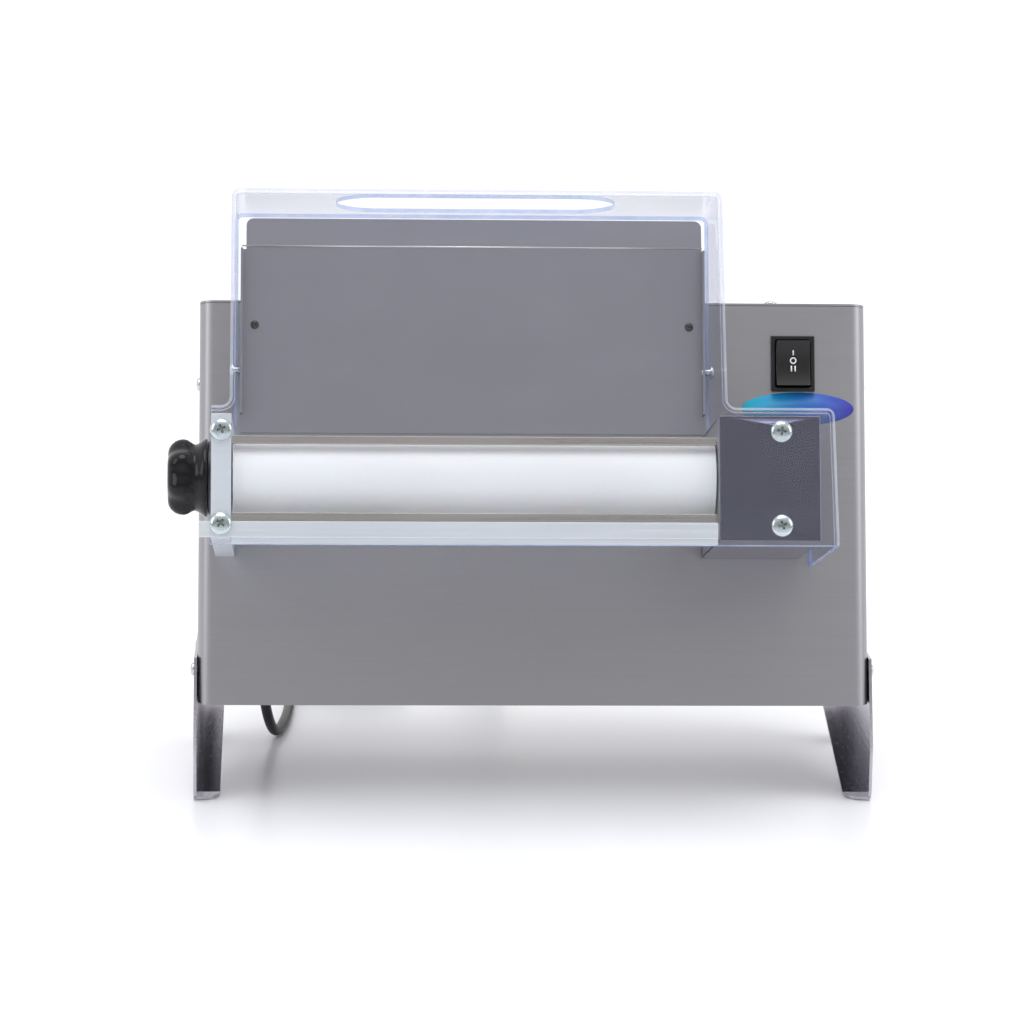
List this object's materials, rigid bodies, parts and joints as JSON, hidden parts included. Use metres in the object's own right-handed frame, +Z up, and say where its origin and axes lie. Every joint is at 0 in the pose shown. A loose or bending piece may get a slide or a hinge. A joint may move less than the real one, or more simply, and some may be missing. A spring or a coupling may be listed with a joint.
{
  "type": "pasta roller machine",
  "caption": "Countertop electric dough and pasta roller: leaning steel housing on side feet, rollers between end plates, hopper plate under a clear guard, gap knob, switch and mains lead.",
  "frame": {"origin": "on the worktop, below the middle of the machine's box without its mains lead", "axes": "+X to the user's right, +Y away from the user, +Z up; the housing leans back 16.75 degrees about X"},
  "size_m": [0.4848, 0.5084, 0.4206],
  "materials": {
    "housing_steel": "brushed stainless sheet, satin",
    "plain_steel": "machined or plain rolled steel",
    "cover_steel": "polished stainless sheet",
    "end_plate_aluminium": "milled and anodised, satin",
    "bar_steel": "drawn bar",
    "zinc_screws": "bright zinc plated",
    "white_pom": "turned white acetal",
    "bakelite": "polished black phenolic",
    "black_plastic": "moulded black",
    "cord_pvc": "black sheath, slight gloss",
    "foot_steel": "brushed stainless sheet",
    "clear_guard": "clear polycarbonate, polished",
    "motor_paint": "dark paint",
    "cast_alloy": "as cast",
    "chain_steel": "oiled chain",
    "brass_bush": "turned bush",
    "light_plastic": "moulded off-white"
  },
  "bodies": {
    "root": {"housing_shell": "housing_steel", "top_cover": "housing_steel", "rear_cover": "housing_steel", "hopper_plate": "housing_steel", "bottom_plate": "plain_steel", "gear_inner_plate": "plain_steel", "rear_scraper": "plain_steel", "motor_bracket": "plain_steel", "gear_cover": "cover_steel", "end_plate_left": "end_plate_aluminium", "end_plate_right": "end_plate_aluminium", "front_rail": "end_plate_aluminium", "upper_crossbar": "bar_steel", "lower_crossbar": "bar_steel", "roller_screw_upper_left": "zinc_screws", "roller_screw_upper_right": "zinc_screws", "roller_screw_lower_left": "zinc_screws", "roller_screw_lower_right": "zinc_screws", "guard_screw_left": "zinc_screws", "guard_screw_right": "zinc_screws", "foot_screw_left_front": "zinc_screws", "foot_screw_left_rear": "zinc_screws", "foot_screw_right_front": "zinc_screws", "foot_screw_right_rear": "zinc_screws", "front_scraper": "white_pom", "window_cap_left": "black_plastic", "window_cap_right": "black_plastic", "switch_body": "black_plastic", "cord_elbow": "black_plastic", "hopper_screw_left": "black_plastic", "hopper_screw_right": "black_plastic", "mains_lead": "cord_pvc", "mains_lead_coil": "cord_pvc", "mains_lead_tail": "cord_pvc", "mains_plug": "cord_pvc", "foot_left": "foot_steel", "foot_right": "foot_steel", "guard": "clear_guard", "motor_housing": "motor_paint", "gearhead": "cast_alloy", "drive_chain": "chain_steel", "shaft_bush_left": "brass_bush", "shaft_bush_right": "brass_bush", "run_capacitor": "light_plastic", "terminal_block": "light_plastic"},
    "rear_roller": {"rear_roller": "white_pom", "rear_roller_shaft": "plain_steel", "rear_gear": "plain_steel", "driven_sprocket": "plain_steel"},
    "knob": {"adjustment_knob": "bakelite", "cam_shaft": "plain_steel"},
    "front_carriage": {"bearing_block_left": "end_plate_aluminium", "bearing_block_right": "end_plate_aluminium"},
    "front_roller": {"front_roller": "white_pom", "front_gear": "plain_steel"},
    "output_shaft": {"output_shaft": "plain_steel", "drive_sprocket": "plain_steel"},
    "motor_rotor": {"motor_rotor": "plain_steel"},
    "switch_rocker": {"switch_rocker": "black_plastic"}
  },
  "joints": [
    {"name": "rear_roller_spin", "type": "hinge", "parent": "root", "child": "rear_roller", "pos_m": [-0.039, -0.04257, 0.21483], "axis": [1, 0, 0], "continuous": true},
    {"name": "knob_turn", "type": "hinge", "parent": "root", "child": "knob", "pos_m": [-0.039, -0.09811, 0.23154], "axis": [1, 0, 0], "range_deg": [-50, 50]},
    {"name": "front_roller_slide", "type": "slide", "parent": "root", "child": "front_carriage", "axis": [0, 0.9576, -0.2882], "range_m": [-0.0019, 0.0019]},
    {"name": "front_roller_spin", "type": "hinge", "parent": "front_carriage", "child": "front_roller", "pos_m": [-0.039, -0.09811, 0.23154], "axis": [1, 0, 0], "continuous": true},
    {"name": "output_shaft_spin", "type": "hinge", "parent": "root", "child": "output_shaft", "pos_m": [0.006, 0.04553, 0.18831], "axis": [1, 0, 0], "continuous": true},
    {"name": "motor_spin", "type": "hinge", "parent": "root", "child": "motor_rotor", "pos_m": [0.006, 0.04553, 0.18831], "axis": [1, 0, 0], "continuous": true},
    {"name": "rocker_tilt", "type": "hinge", "parent": "root", "child": "switch_rocker", "pos_m": [0.1858, 0.01636, 0.29265], "axis": [1, 0, 0], "range_deg": [-8, 8]}
  ],
  "couplings": [
    {"joint": "knob_turn", "follows": "front_roller_slide", "rad_per_m": -459.3},
    {"joint": "front_roller_spin", "follows": "rear_roller_spin", "ratio": -1},
    {"joint": "output_shaft_spin", "follows": "rear_roller_spin", "ratio": 1},
    {"joint": "motor_spin", "follows": "rear_roller_spin", "ratio": 15}
  ]
}
